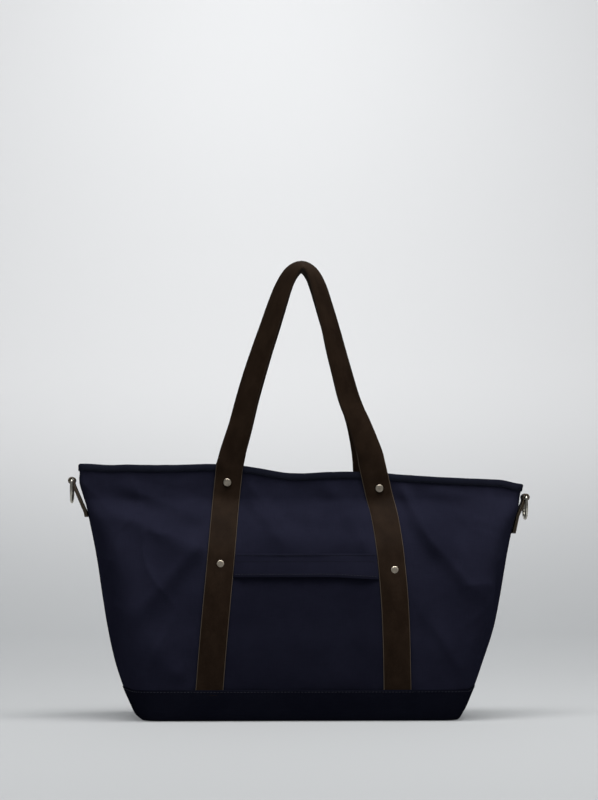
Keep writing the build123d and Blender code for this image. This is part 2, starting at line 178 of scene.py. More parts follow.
def foldLift(x, height, side):
    # how far the cloth stands out of its plain shape
    total = 0.0
    for x1, z1, x2, z2, above, below, rise in frontFolds if side < 0 else backFolds:
        length = hypot(x2 - x1, z2 - z1)
        ux, uz = (x2 - x1) / length, (z2 - z1) / length
        along = (x - x1) * ux + (height - z1) * uz
        off = (height - z1) * ux - (x - x1) * uz
        past = max(-along, along - length, 0.0)
        spread = above if off * (1 if ux > 0 else -1) > 0 else below
        total += 2.1 * rise * exp(-((off / spread) ** 2)) * exp(-((past / 0.022) ** 2))
    seed = 3.7 if side < 0 else 11.3
    drift = noise.noise(Vector((x * 6, height * 6, seed + 20))) * 0.06
    spot = Vector(((x + drift) * 15 + height * 7, (height - drift) * 13 - x * 5, seed + 2))
    crumple = 1 - abs(noise.noise(spot))
    total += 0.0026 * crumple**7 * ease(noise.noise(Vector((x * 5, height * 6, seed + 31))), -0.25, 0.35)
    total += 0.0024 * noise.noise(Vector((x * 11, height * 9, seed)))
    total += 0.0011 * noise.noise(Vector((x * 26, height * 20, seed + 5)))
    total += 0.00025 * noise.noise(Vector((x * 70, height * 55, seed + 9)))
    calm = ease(height, bagForm["seam"], 0.062) * ease(rimHeight(x) - height, 0.002, 0.028)
    calm *= 0.12 + 0.88 * ease(nearStrap(x, height, side), 0.017, 0.034)
    if side < 0 and abs(x) < 0.1 and height < 0.205:
        calm *= 0.25
    return total * calm


def wallDepth(x, height, side):
    return curveAt(bagForm["levels"], height, 2) + foldLift(x, height, side)


def wallSpot(zone, share, height, side, out=0.0, folded=True):
    # a point on the wall, its outward direction level, and how far along the wall it is
    rows = bagForm["levels"]
    a, b = curveAt(rows, height, 1) + out, curveAt(rows, height, 2) + out
    drawn, soft = curveAt(rows, height, 3), curveAt(rows, height, 4)
    hand = 1 if share >= 0 else -1
    span = abs(share)
    sideLength = hypot(drawn, b)
    toward = (drawn / sideLength, b / sideLength)
    along1, along2 = min(soft, 0.45 * sideLength), soft
    flatEnd = a - drawn - along2
    if zone == "front":
        x, y, nx, ny, run = span * flatEnd, -b, 0.0, -1.0, span * flatEnd
    else:
        p0, p1 = (flatEnd, -b), (a - drawn, -b)
        p2 = (p1[0] + toward[0] * along1, p1[1] + toward[1] * along1)
        if zone == "corner":
            t = span
            x = p0[0] * (1 - t) ** 2 + 2 * p1[0] * t * (1 - t) + p2[0] * t * t
            y = p0[1] * (1 - t) ** 2 + 2 * p1[1] * t * (1 - t) + p2[1] * t * t
            dx = (1 - t) * (p1[0] - p0[0]) + t * (p2[0] - p1[0])
            dy = (1 - t) * (p1[1] - p0[1]) + t * (p2[1] - p1[1])
            size = hypot(dx, dy)
            nx, ny, run = dy / size, -dx / size, flatEnd + t * 1.6 * soft
        else:
            x, y = p2[0] + (a - p2[0]) * span, p2[1] - p2[1] * span
            nx, ny, run = toward[1], -toward[0], flatEnd + 1.6 * soft + span * (sideLength - along1)
    lift = foldLift(hand * run, height, side) if folded else 0.0
    if zone == "side":
        lift *= 1 - span
    spot = Vector((hand * (x + nx * lift) + curveAt(bagForm["lean"], height), y + ny * lift, height))
    level = Vector((hand * nx, ny, 0))
    if side > 0:
        spot.y, level.y = -spot.y, -level.y
    return spot, level, hand * run


def wallColumns(flatCount, cornerCount, sideCount):
    right = [("front", i / flatCount) for i in range(flatCount)]
    right += [("corner", i / cornerCount) for i in range(cornerCount)]
    right += [("side", i / sideCount) for i in range(sideCount + 1)]
    left = [(zone, -share if share else -1e-9) for zone, share in right[:0:-1]]
    return left + right


# mesh helpers
def makePiece(name, points, faces, uvs=None):
    mesh = bpy.data.meshes.new(name)
    mesh.from_pydata([tuple(p) for p in points], [], faces)
    if uvs:
        layer = mesh.uv_layers.new(name="cloth")
        for loop in mesh.loops:
            layer.data[loop.index].uv = uvs[loop.vertex_index]
    mesh.validate()
    for face in mesh.polygons:
        face.use_smooth = True
    piece = bpy.data.objects.new(name, mesh)
    bpy.context.collection.objects.link(piece)
    return piece


def gridFaces(rows, columns, closed=False, flip=False):
    faces = []
    for r in range(rows - 1):
        for c in range(columns if closed else columns - 1):
            n = (c + 1) % columns
            face = (r * columns + c, r * columns + n, (r + 1) * columns + n, (r + 1) * columns + c)
            faces.append(face[::-1] if flip else face)
    return faces


def applyAll(piece):
    bpy.ops.object.select_all(action="DESELECT")
    piece.select_set(True)
    bpy.context.view_layer.objects.active = piece
    for modifier in list(piece.modifiers):
        bpy.ops.object.modifier_apply(modifier=modifier.name)
    piece.select_set(False)


def facesOut(piece):
    bpy.ops.object.select_all(action="DESELECT")
    piece.select_set(True)
    bpy.context.view_layer.objects.active = piece
    bpy.ops.object.mode_set(mode="EDIT")
    bpy.ops.mesh.select_all(action="SELECT")
    bpy.ops.mesh.normals_make_consistent(inside=False)
    bpy.ops.object.mode_set(mode="OBJECT")


def thicken(piece, thickness, offset=-1.0, soft=0.0):
    solid = piece.modifiers.new("cloth", "SOLIDIFY")
    solid.thickness = thickness
    solid.offset = offset
    solid.use_even_offset = False
    if soft:
        bevel = piece.modifiers.new("edge", "BEVEL")
        bevel.width = soft
        bevel.segments = 2
        bevel.limit_method = "ANGLE"
        bevel.angle_limit = radians(50)
    applyAll(piece)


def lengthsAlong(points):
    total, out = 0.0, [0.0]
    for a, b in zip(points, points[1:]):
        total += (b - a).length
        out.append(total)
    return out


# finishes
class Wire:
    def __init__(self, tree, socket=None):
        self.tree = tree
        self.socket = socket

    def node(self, kind, settings=None, inputs=None, out=0):
        made = self.tree.nodes.new(kind)
        for name, value in (settings or {}).items():
            if name == "stops":
                stops = made.color_ramp.elements
                while len(stops) < len(value):
                    stops.new(0.5)
                for stop, (place, colour) in zip(stops, value):
                    stop.position, stop.color = place, (*colour, 1)
            else:
                setattr(made, name, value)
        for name, value in (inputs or {}).items():
            socket = made.inputs[name]
            if isinstance(value, Wire):
                self.tree.links.new(value.socket, socket)
            else:
                socket.default_value = value
        return Wire(self.tree, made.outputs[out])

    def combine(self, operation, first, second):
        return self.node("ShaderNodeMath", {"operation": operation}, {0: first, 1: second})

    def __add__(self, other):
        return self.combine("ADD", self, other)

    def __sub__(self, other):
        return self.combine("SUBTRACT", self, other)

    def __rsub__(self, other):
        return self.combine("SUBTRACT", other, self)

    def __mul__(self, other):
        return self.combine("MULTIPLY", self, other)

    __radd__ = __add__
    __rmul__ = __mul__

    def part(self, index):
        return self.node("ShaderNodeSeparateXYZ", {}, {"Vector": self}, out=index)

    def sine(self):
        return self.node("ShaderNodeMath", {"operation": "SINE"}, {0: self})

    def size(self):
        return self.node("ShaderNodeMath", {"operation": "ABSOLUTE"}, {0: self})

    def noise(self, scale, detail=3.0, roughness=0.5):
        return self.node(
            "ShaderNodeTexNoise", {}, {"Vector": self, "Scale": scale, "Detail": detail, "Roughness": roughness}
        )

    def stretched(self, x, y, z):
        return self.node("ShaderNodeMapping", {}, {"Vector": self, "Scale": (x, y, z)})

    def between(self, low, high):
        # fades from 0 to 1 as the value goes from low to high
        return self.node("ShaderNodeMapRange", {"interpolation_type": "SMOOTHSTEP"}, {0: self, 1: low, 2: high})

    def blended(self, first, second):
        # colour mix, with this value as the share of the second
        mixed = self.node("ShaderNodeMix", {"data_type": "RGBA"}, {0: self})
        made = mixed.socket.node
        for index, colour in ((6, first), (7, second)):
            if isinstance(colour, Wire):
                self.tree.links.new(colour.socket, made.inputs[index])
            else:
                made.inputs[index].default_value = (*colour, 1)
        return Wire(self.tree, made.outputs[2])


def newFinish(name, fixed=None):
    material = bpy.data.materials.new(name)
    material.use_nodes = True
    tree = material.node_tree
    shader = next(n for n in tree.nodes if n.type == "BSDF_PRINCIPLED")
    for socket, value in (fixed or {}).items():
        shader.inputs[socket].default_value = value
    return material, Wire(tree), shader


def connect(shader, colour, roughness, bump=None, strength=0.3, distance=0.0005, glow=None):
    tree = shader.id_data
    for socket, wire in (("Base Color", colour), ("Roughness", roughness), ("Emission Color", glow)):
        if wire is not None:
            tree.links.new(wire.socket, shader.inputs[socket])
    if bump is not None:
        made = bump.node("ShaderNodeBump", {}, {"Height": bump, "Strength": strength, "Distance": distance})
        tree.links.new(made.socket, shader.inputs["Normal"])


def uvPlace(wires):
    return wires.node("ShaderNodeUVMap", {"uv_map": "cloth"})


def objectPlace(wires):
    return wires.node("ShaderNodeTexCoord", {}, {}, out=3)


def threadsOf(place, weave):
    # crossing threads, weave of them to the metre
    return (place.part(0) * (weave * pi)).sine() * (place.part(1) * (weave * pi)).sine()


def coatedCanvas(name, colour, lighter, roughness, weave=1500.0):
    material, wires, shader = newFinish(name, {"Specular IOR Level": 0.0})
    place = uvPlace(wires)
    slub = place.stretched(60, 900, 1).noise(1.0, 2.0)
    slubUp = place.stretched(900, 60, 1).noise(1.0, 2.0)
    cloud = place.noise(14.0, 4.0, 0.55)
    wear = place.noise(55.0, 5.0, 0.65)
    height = threadsOf(place, weave) * 0.35 + slub * 0.3 + slubUp * 0.3 + wear * 0.35
    shade = (cloud * 0.6 + slub * 0.2 + slubUp * 0.2).between(0.30, 0.72)
    tone = shade.blended(colour, lighter)
    rough = wear * 0.14 + cloud * 0.10 + (roughness - 0.12)
    connect(shader, tone, rough, height, 0.22, 0.0003)
    return material


def plainWeave(name, colour, lighter, roughness, weave):
    material, wires, shader = newFinish(name, {"Sheen Weight": 0.1, "Specular IOR Level": 0.3})
    place = uvPlace(wires)
    cloud = place.noise(40.0, 4.0, 0.6)
    tone = cloud.between(0.3, 0.7).blended(colour, lighter)
    height = threadsOf(place, weave) + cloud * 0.4
    connect(shader, tone, cloud * 0.15 + (roughness - 0.07), height, 0.35, 0.0004)
    return material


def brownLeather(name):
    # waxed leather with paler cut edges; the map runs across and along the strap in metres
    material, wires, shader = newFinish(name, {"Specular IOR Level": 0.022})
    place = uvPlace(wires)
    across, along = place.part(0), place.part(1)
    pebble = wires.node("ShaderNodeTexVoronoi", {}, {"Vector": place, "Scale": 1400.0})
    pores = wires.node("ShaderNodeTexVoronoi", {"feature": "DISTANCE_TO_EDGE"}, {"Vector": place, "Scale": 620.0})
    cloud = place.stretched(1.6, 1.0, 1.0).noise(26.0, 5.0, 0.6)
    streak = place.stretched(90, 9, 1).noise(1.0, 4.0, 0.6)
    scuff = place.noise(160.0, 4.0, 0.7)
    edge = across.size().between(0.01610, 0.01670)
    patchy = cloud.between(0.28, 0.74)
    body = patchy.blended((0.0128, 0.0074, 0.0044), (0.0215, 0.0130, 0.0080))
    worn = (streak * 0.5 + scuff * 0.5).between(0.50, 0.72)
    body = (worn * 0.35).blended(body, (0.030, 0.0195, 0.0135))
    # the cut edges are darker along the handles
    onHandle = along.between(0.285, 0.315) * (1 - along.between(0.83, 0.86))
    cutEdge = onHandle.blended((0.115, 0.092, 0.068), (0.026, 0.0175, 0.0125))
    tone = (edge * 0.85).blended(body, cutEdge)
    rough = 0.46 + cloud * 0.16 + scuff * 0.12 + edge * 0.18
    height = pebble * 0.4 + pores.between(0.0, 0.25) * 0.6 + scuff * 0.3
    connect(shader, tone, rough, height, 0.28, 0.00035)
    return material


def satinMetal(name, colour, darker, roughness):
    material, wires, shader = newFinish(name, {"Metallic": 1.0})
    place = objectPlace(wires)
    cloud = place.noise(220.0, 4.0, 0.6)
    brush = place.stretched(1, 1, 12).noise(500.0, 3.0, 0.6)
    scratch = place.stretched(900, 60, 900).noise(1.0, 3.0, 0.7)
    tone = cloud.between(0.3, 0.75).blended(darker, colour)
    rough = roughness - 0.08 + cloud * 0.12 + brush * 0.08
    connect(shader, tone, rough, brush * 0.5 + scratch * 0.5, 0.12, 0.0002)
    return material


def threadFinish(name, colour, lighter):
    material, wires, shader = newFinish(name, {"Specular IOR Level": 0.06})
    place = objectPlace(wires)
    twist = place.noise(2600.0, 2.0)
    connect(shader, twist.between(0.3, 0.7).blended(colour, lighter), 0.55 + twist * 0.2, twist, 0.4, 0.0002)
    return material


def boardFinish(name):
    material, wires, shader = newFinish(name, {})
    place = objectPlace(wires)
    fibre = place.stretched(1, 3, 1).noise(300.0, 5.0, 0.7)
    tone = fibre.between(0.3, 0.7).blended((0.02, 0.02, 0.021), (0.035, 0.034, 0.033))
    connect(shader, tone, 0.6 + fibre * 0.2, fibre, 0.3, 0.0004)
    return material


finish = {
    "canvas": coatedCanvas("navyCanvas", (0.0108, 0.0112, 0.0212), (0.0156, 0.0160, 0.0295), 0.50),
    # the pocket panel and the flap get a darker copy of the canvas: painted shade for their recess between the
    # straps
    "pocket": coatedCanvas("shadedPocketCanvas", (0.0086, 0.0089, 0.0168), (0.0120, 0.0124, 0.0228), 0.52),
    "base": coatedCanvas("baseCanvas", (0.0044, 0.0048, 0.0092), (0.0068, 0.0073, 0.0128), 0.58),
    "binding": coatedCanvas("bindingCanvas", (0.0094, 0.0104, 0.0176), (0.0138, 0.0150, 0.0246), 0.55),
    "lining": plainWeave("sandLining", (0.20, 0.175, 0.14), (0.26, 0.23, 0.19), 0.85, 1100.0),
    "tape": plainWeave("zipTape", (0.0075, 0.0082, 0.0150), (0.0120, 0.0130, 0.0220), 0.75, 1300.0),
    "leather": brownLeather("brownLeather"),
    "rivet": satinMetal("pewterRivet", (0.66, 0.59, 0.48), (0.42, 0.37, 0.30), 0.33),
    "hardware": satinMetal("satinNickel", (0.60, 0.57, 0.49), (0.40, 0.38, 0.32), 0.27),
    "teeth": satinMetal("zipTeeth", (0.55, 0.53, 0.49), (0.38, 0.36, 0.34), 0.32),
    "thread": threadFinish("navyThread", (0.0050, 0.0060, 0.0100), (0.0085, 0.0100, 0.0160)),
    "paleThread": threadFinish("slateThread", (0.020, 0.021, 0.030), (0.034, 0.035, 0.046)),
    "board": boardFinish("greyBoard"),
}


def paint(piece, material):
    piece.data.materials.clear()
    piece.data.materials.append(finish[material])


def settle(piece, material, nodes=(), body="bag"):
    # its finish, the body that it moves with and the CAD nodes that it stands for
    paint(piece, material)
    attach(piece, body)
    if nodes:
        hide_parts(*nodes)
    return piece


# canvas walls
def buildWall(name, side, node):
    columns = wallColumns(*bagForm["columns"])
    rowCount = bagForm["rows"]
    low = bagForm["seam"] - 0.003
    points, uvs = [], []
    for r in range(rowCount + 1):
        share = r / rowCount
        guess = low + share * (bagForm["rimMid"] - low)
        for zone, part in columns:
            x = wallSpot(zone, part, guess, side, folded=False)[0].x
            spot, level, run = wallSpot(zone, part, low + share * (rimHeight(x) - low), side)
            points.append(spot)
            uvs.append((run, spot.z * 1.08))
    wall = makePiece(name, points, gridFaces(rowCount + 1, len(columns), flip=side > 0), uvs)
    thicken(wall, bagForm["cloth"])
    return settle(wall, "canvas", (node,))


for label, side in (("front", -1), ("back", 1)):
    wall = buildWall(label + "Canvas", side, label + "_panel")
    below = ["base_panel", label + "_strap_left", label + "_strap_right"]
print("canvas walls built")

# base panel, lapping the feet of the walls, straps and pocket
basePanel = {
    "heights": [0.0392, 0.0375, 0.034, 0.030, 0.026, 0.021, 0.016, 0.012, 0.0085, 0.0055, 0.003, 0.0013, 0.0003],
    "cloth": 0.0018,
    "lap": 0.0007,  # how far it stands out over the wall, the straps and the pocket
    "overStrap": 0.0036,
    "overPocket": 0.0016,
    "bottomRings": 14,
    "columns": (46, 8, 7),
}


def baseOut(x, height, side, zone):
    # the base stands out over what it laps
    fade = ease(height, 0.010, 0.036)
    out = basePanel["lap"]
    if zone == "front":
        bump = ease(0.0235 - nearStrap(x, 0.04, side), 0.0, 0.0065)
        out += bump * basePanel["overStrap"] * fade
        if side < 0:
            out += (1 - bump) * ease(0.110 - abs(x), 0.0, 0.01) * basePanel["overPocket"] * fade
    out += 0.0011 * noise.noise(Vector((x * 22, height * 30, 4.1 + side))) * ease(height, 0.003, 0.02)
    return out


def ringSpots(columns, height):
    ring = []
    for side in (-1, 1):
        part = columns if side < 0 else columns[::-1]
        for zone, share in part[:-1]:
            spot, level, run = wallSpot(zone, share, height, side, folded=False)
            along = run if side < 0 else 1.2 - run
            ring.append((spot + level * baseOut(spot.x, height, side, zone), along))
    return ring


def buildBase():
    columns = wallColumns(*basePanel["columns"])
    heights = basePanel["heights"]
    points, uvs = [], []
    for height in heights:
        shrink = 0.0012 * (1 - ease(height, 0.0, 0.003))
        for spot, run in ringSpots(columns, height):
            inward = Vector((spot.x, spot.y, 0)).normalized() * shrink
            place = spot - inward
            place.z = height
            points.append(place)
            uvs.append((run, height))
    count = len(points) // len(heights)
    last = points[-count:]
    for ring in range(1, basePanel["bottomRings"] + 1):
        share = 1 - ring / (basePanel["bottomRings"] + 0.5)
        for spot in last:
            points.append(Vector((spot.x * share, spot.y * share, 0.0)))
            uvs.append((spot.x * share, spot.y * share - 0.4))
    rows = len(heights) + basePanel["bottomRings"]
    faces = gridFaces(rows, count, closed=True, flip=True)
    faces.append(tuple(range((rows - 1) * count, rows * count)))
    base = makePiece("baseCanvas", points, faces, uvs)
    facesOut(base)
    thicken(base, basePanel["cloth"])
    return settle(base, "base", ("base_panel",))


buildBase()
print("base built")

# rim binding, folded over the edge
rimBinding = {
    # how far out of the wall, and how far above the rim
    "fold": [
        (0.0001, -0.0075), (0.0006, -0.0072), (0.0008, -0.0040), (0.0007, -0.0006), (0.0002, 0.0005),
        (-0.0009, 0.0009), (-0.0020, 0.0007), (-0.0026, -0.0003), (-0.0027, -0.0040), (-0.0026, -0.0074),
    ],
    "cloth": 0.0006,
    "columns": (70, 6, 6),
}


def rimColumns():
    spots = []
    columns = wallColumns(*rimBinding["columns"])
    for side in (-1, 1):
        part = columns if side < 0 else columns[::-1]
        for zone, share in part[:-1]:
            x = wallSpot(zone, share, bagForm["rimMid"], side, folded=False)[0].x
            spots.append((zone, share, side, rimHeight(x)))
    return spots


def buildBinding():
    points, uvs = [], []
    spots = rimColumns()
    for index, (out, up) in enumerate(rimBinding["fold"]):
        for zone, share, side, top in spots:
            spot, level, run = wallSpot(zone, share, top + min(up, 0.0), side)
            pucker = (0.00025 if out > -0.002 else 0.00008) * noise.noise(Vector((run * 160, index * 0.7, side)))
            deeper = 0.0011 * ease(abs(spot.x), 0.235, 0.260) if out < -0.0015 else 0.0
            point = spot + level * (out + pucker - deeper)
            point.z = top + up + 0.0003 * noise.noise(Vector((run * 60, 2.0, side)))
            points.append(point)
            uvs.append((run + (0 if side < 0 else 1.3), index * 0.002))
    binding = makePiece("rimBinding", points, gridFaces(len(rimBinding["fold"]), len(spots), closed=True), uvs)
    thicken(binding, rimBinding["cloth"], 1.0)
    return settle(binding, "binding", ("rim_binding",))


buildBinding()
print("binding built")


# lining, board and slip pocket
liningForm = {
    "cloth": 0.0007,
    "inside": 0.0026,  # from the wall's outer face
    "floor": 0.0069,
    "lowRows": [0.0070, 0.0078, 0.012, 0.02, 0.038],
    "rowStep": 0.00534,  # from the seam up
    "upperRows": 50,
    "rise": 0.267,
    "underRim": 0.0012,
    "columns": (56, 8, 7),
}
slipPocket = {"rows": 24, "columns": 30, "inside": 0.0042, "sag": 0.0016, "cloth": 0.0008}


def buildLining():
    columns = wallColumns(*liningForm["columns"])
    seam = bagForm["seam"]
    heights = list(liningForm["lowRows"])
    heights += [seam + liningForm["rowStep"] * i for i in range(1, liningForm["upperRows"] + 1)]
    points, uvs, count = [], [], 0
    for index, height in enumerate(heights):
        ring = []
        for side in (-1, 1):
            part = columns if side < 0 else columns[::-1]
            for zone, share in part[:-1]:
                z = height
                if height > seam:
                    x = wallSpot(zone, share, height, side, folded=False)[0].x
                    z = seam + (height - seam) / liningForm["rise"] * (rimHeight(x) - liningForm["underRim"] - seam)
                spot, level, run = wallSpot(zone, share, z, side)
                rim = rimHeight(spot.x)
                nearTop = ease(z, rim - 0.030, rim - 0.012) * (1 - ease(abs(spot.x), 0.235, 0.260))
                inside = liningForm["inside"] + 0.002 * (index == 0) - 0.0009 * nearTop
                ring.append(spot - level * inside)
                uvs.append((run + (0 if side < 0 else 1.2), z))
        count = len(ring)
        points += ring
    bottom = points[:count]
    start = len(points)
    for share in (0.75, 0.5, 0.25, 0.08):
        for spot in bottom:
            points.append(Vector((spot.x * share, spot.y * share, liningForm["floor"])))
            uvs.append((spot.x * share, spot.y * share))
    faces = gridFaces(len(heights), count, closed=True)
    order = [list(range(count))] + [list(range(start + i * count, start + (i + 1) * count)) for i in range(4)]
    for near, far in zip(order, order[1:]):
        for c in range(count):
            n = (c + 1) % count
            faces.append((near[n], near[c], far[c], far[n]))
    faces.append(tuple(order[-1]))
    lining = makePiece("liningCloth", points, faces, uvs)
    facesOut(lining)
    thicken(lining, liningForm["cloth"])
    return settle(lining, "lining", ("lining",))


buildLining()


def buildInnerPocket():
    low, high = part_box("inner_pocket")
    rows, columns = slipPocket["rows"], slipPocket["columns"]
    points, uvs = [], []
    for r in range(rows + 1):
        z = low.z + (high.z - low.z) * r / rows
        for c in range(columns + 1):
            x = low.x + (high.x - low.x) * c / columns
            sag = slipPocket["sag"] * sin(pi * c / columns) * ease(r / rows, 0.2, 1.0)
            points.append(Vector((x, wallDepth(x, z, 1) - slipPocket["inside"] - sag, z)))
            uvs.append((x, z))
    pocket = makePiece("innerPocket", points, gridFaces(rows + 1, columns + 1, flip=True), uvs)
    thicken(pocket, slipPocket["cloth"], soft=0.0002)
    return settle(pocket, "lining", ("inner_pocket",))


buildInnerPocket()
paint(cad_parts["base_board"], "board")
print("inside built")

# front pocket and its flap
frontPocket = {"low": 0.034, "high": 0.192, "lift": 0.0002, "cloth": 0.0008, "rows": 56, "columns": 70}
flap = {
    "top": 0.2078,
    "pivot": 0.2051,
    "low": 0.1790,
    "cloth": 0.0014,
    "reach": 0.0176,  # from a strap's centre line to the flap's side
    "rows": 22,
    "columns": 80,
}


def pocketFold(x, height):
    total = 0.0011 * exp(-(((x - 0.075 + (height - 0.12) * 0.5) / 0.014) ** 2)) * ease(0.15 - height, 0.0, 0.08)
    total += 0.0014 * exp(-(((x - 0.045) / 0.018) ** 2)) * ease(0.10 - height, 0.0, 0.06)
    total += 0.0009 * exp(-(((x + 0.062) / 0.016) ** 2)) * ease(0.12 - height, 0.0, 0.07)
    total += 0.0010 * (noise.noise(Vector((x * 16, height * 9, 21.0))) + 0.6)
    total += 0.0004 * (noise.noise(Vector((x * 48, height * 34, 23.0))) + 0.6)
    return total * ease(0.128 - abs(x), 0.0, 0.03)


def betweenStraps(height, share, reach):
    left = curveAt(strapLines["frontLeft"], height) + reach
    right = curveAt(strapLines["frontRight"], height) - reach
    return left + (right - left) * share


def buildPocket():
    rows, columns = frontPocket["rows"], frontPocket["columns"]
    points, uvs = [], []
    for r in range(rows + 1):
        z = frontPocket["low"] + (frontPocket["high"] - frontPocket["low"]) * r / rows
        for c in range(columns + 1):
            x = betweenStraps(z, c / columns, 0.006)
            edge = ease(min(c, columns - c) / columns, 0.0, 0.12)
            out = frontPocket["lift"] + pocketFold(x, z) * edge * ease(z, 0.036, 0.052)
            points.append(Vector((x, -(wallDepth(x, z, -1) + out), z)))
            uvs.append((x + 0.7, z * 1.05))
    pocket = makePiece("pocketPanel", points, gridFaces(rows + 1, columns + 1), uvs)
    thicken(pocket, frontPocket["cloth"])
    # the pocket finish is the canvas darkened as painted shade
    return settle(pocket, "pocket", ("front_pocket",))


buildPocket()


def flapOut(x, z):
    hang = ease(flap["pivot"] - z, 0.0, 0.028)
    wave = 0.0006 * (noise.noise(Vector((x * 40, 3.0, 1.0))) + 0.4) + 0.0008 * exp(-(((x - 0.07) / 0.02) ** 2))
    left, right = betweenStraps(z, 0.0, flap["reach"]), betweenStraps(z, 1.0, flap["reach"])
    free = ease(right - x, -0.001, 0.016) * ease(x - left, -0.001, 0.016)
    return 0.0004 + 0.0008 * ease(flap["top"] - z, 0.0, 0.002) + hang * (0.0008 + (0.0026 + wave) * free)


def flapLow(x):
    # the free edge droops towards the right-hand strap
    return flap["low"] + 0.0006 * noise.noise(Vector((x * 18, 7.0, 0.0))) - 0.0030 * ease(x, 0.03, 0.10)


def buildFlap():
    rows, columns = flap["rows"], flap["columns"]
    points, uvs = [], []
    for r in range(rows + 1):
        share = r / rows
        for c in range(columns + 1):
            guess = flap["top"] + (flap["low"] - flap["top"]) * share
            x = betweenStraps(guess, c / columns, flap["reach"])
            z = flap["top"] + (flapLow(x) - flap["top"]) * share
            roll = 0.0007 * ease(share, 0.90, 1.0)
            points.append(Vector((x, -(wallDepth(x, z, -1) + flapOut(x, z) - roll), z)))
            uvs.append((x + 0.9, z))
    cloth = makePiece("pocketFlap", points, gridFaces(rows + 1, columns + 1, flip=True), uvs)
    thicken(cloth, flap["cloth"], 1.0, soft=0.0004)
    # the flap takes the pocket finish, the canvas darkened as painted shade
    paint(cloth, "pocket")
    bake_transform(cloth)
    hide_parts("pocket_flap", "flap_seam")
    return cloth


buildFlap()
print("pocket and flap built")

# straps and handles
strap = {
    "width": 0.0343,
    "thickness": 0.0032,
    # across the strap, and its crowned face
    "section": [
        (-0.5, -0.30), (-0.497, 0.12), (-0.480, 0.36), (-0.44, 0.46), (-0.22, 0.52), (0.0, 0.54), (0.22, 0.52),
        (0.44, 0.46), (0.480, 0.36), (0.497, 0.12), (0.5, -0.30), (0.47, -0.48), (0.0, -0.50), (-0.47, -0.48),
    ],
    "foot": 0.033,
    "leaves": 0.317,  # height where the leather leaves the wall
    "wallRows": 30,
}

# x, height and twist of the handle's centre line, from the left foot over the top to the right foot
frontHandleLine = [
    (-0.0908, 0.3235, 2), (-0.0890, 0.3315, 9), (-0.0862, 0.343, 18), (-0.0785, 0.371, 30), (-0.0697, 0.407, 36),
    (-0.0610, 0.438, 39), (-0.0518, 0.467, 42), (-0.0415, 0.498, 46), (-0.0318, 0.528, 50), (-0.0225, 0.552, 53),
    (-0.0122, 0.5704, 60), (0.0008, 0.5786, 70),
    (0.0130, 0.5706, 63), (0.0217, 0.552, 54), (0.0300, 0.524, 50), (0.0375, 0.496, 46), (0.0443, 0.467, 42),
    (0.0520, 0.437, 40), (0.0605, 0.4055, 37), (0.0735, 0.3755, 30), (0.0845, 0.345, 18), (0.0884, 0.332, 8),
    (0.0900, 0.3235, 2),
]
backHandleLine = [
    (-0.0913, 0.3235, 2), (-0.0893, 0.3315, 10), (-0.0860, 0.343, 20), (-0.0765, 0.371, 36), (-0.0665, 0.407, 44),
    (-0.0575, 0.438, 47), (-0.0485, 0.467, 50), (-0.0382, 0.498, 53), (-0.0285, 0.528, 56), (-0.0200, 0.555, 58),
    (-0.0110, 0.5712, 64), (0.0016, 0.5794, 74),
    (0.0140, 0.5712, 64), (0.0225, 0.554, 58), (0.0318, 0.524, 56), (0.0405, 0.496, 53), (0.0480, 0.467, 50),
    (0.0560, 0.437, 47), (0.0650, 0.4055, 44), (0.0752, 0.3755, 34), (0.0820, 0.347, 20), (0.0843, 0.332, 8),
    (0.0849, 0.3235, 2),
]


def strapRests(x, height, side):
    # middle of the leather where it lies on the wall and over the binding
    over = 0.0014 * ease(height, rimHeight(x) - 0.016, rimHeight(x) - 0.006)
    return side * (wallDepth(x, height, side) + 0.0003 + over + strap["thickness"] / 2)


def smoothThrough(rows, steps):
    # passes through every row, with steps points between each pair
    out = []
    for i in range(len(rows) - 1):
        p0, p1 = rows[max(i - 1, 0)], rows[i]
        p2, p3 = rows[i + 1], rows[min(i + 2, len(rows) - 1)]
        for s in range(steps):
            t = s / steps
            out.append([
                0.5 * (2 * b + (c - a) * t + (2 * a - 5 * b + 4 * c - d) * t * t + (3 * b - a - 3 * c + d) * t**3)
                for a, b, c, d in zip(p0, p1, p2, p3)
            ])
    out.append(list(rows[-1]))
    return out


def strapPath(leftLine, rightLine, handleLine, side):
    # rows of x, y, height, twist
    foot, leaves, count = strap["foot"], strap["leaves"], strap["wallRows"]
    wallLeft, wallRight = [], []
    for line, rows in ((leftLine, wallLeft), (rightLine, wallRight)):
        for i in range(count):
            height = foot + (leaves - foot) * i / (count - 1)
            x = curveAt(line, height)
            rows.append((x, strapRests(x, height, side), height, 0.0))
    topY = strapRests(wallLeft[-1][0], leaves, side)
    handle = [(x, topY + side * 0.0012 * ease(z, 0.33, 0.42), z, twist) for x, z, twist in handleLine]
    return smoothThrough(wallLeft + handle + wallRight[::-1], 4)


def sweepStrip(name, spots, widths, thickness, uvShift=0.0):
    # spots are rows of point, across, outward
    section = strap["section"]
    count = len(section)
    points, uvs = [], []
    runs = lengthsAlong([spot for spot, across, out in spots])
    for (spot, across, out), run in zip(spots, runs):
        for s, t in section:
            points.append(spot + across * (s * widths) + out * (t * thickness))
            uvs.append((s * strap["width"], run + uvShift))
    rows = len(spots)
    faces = gridFaces(rows, count, closed=True)
    faces.append(tuple(range(count - 1, -1, -1)))
    faces.append(tuple(range((rows - 1) * count, rows * count)))
    strip = makePiece(name, points, faces, uvs)
    facesOut(strip)
    bpy.ops.object.shade_smooth_by_angle(angle=radians(50))
    return strip


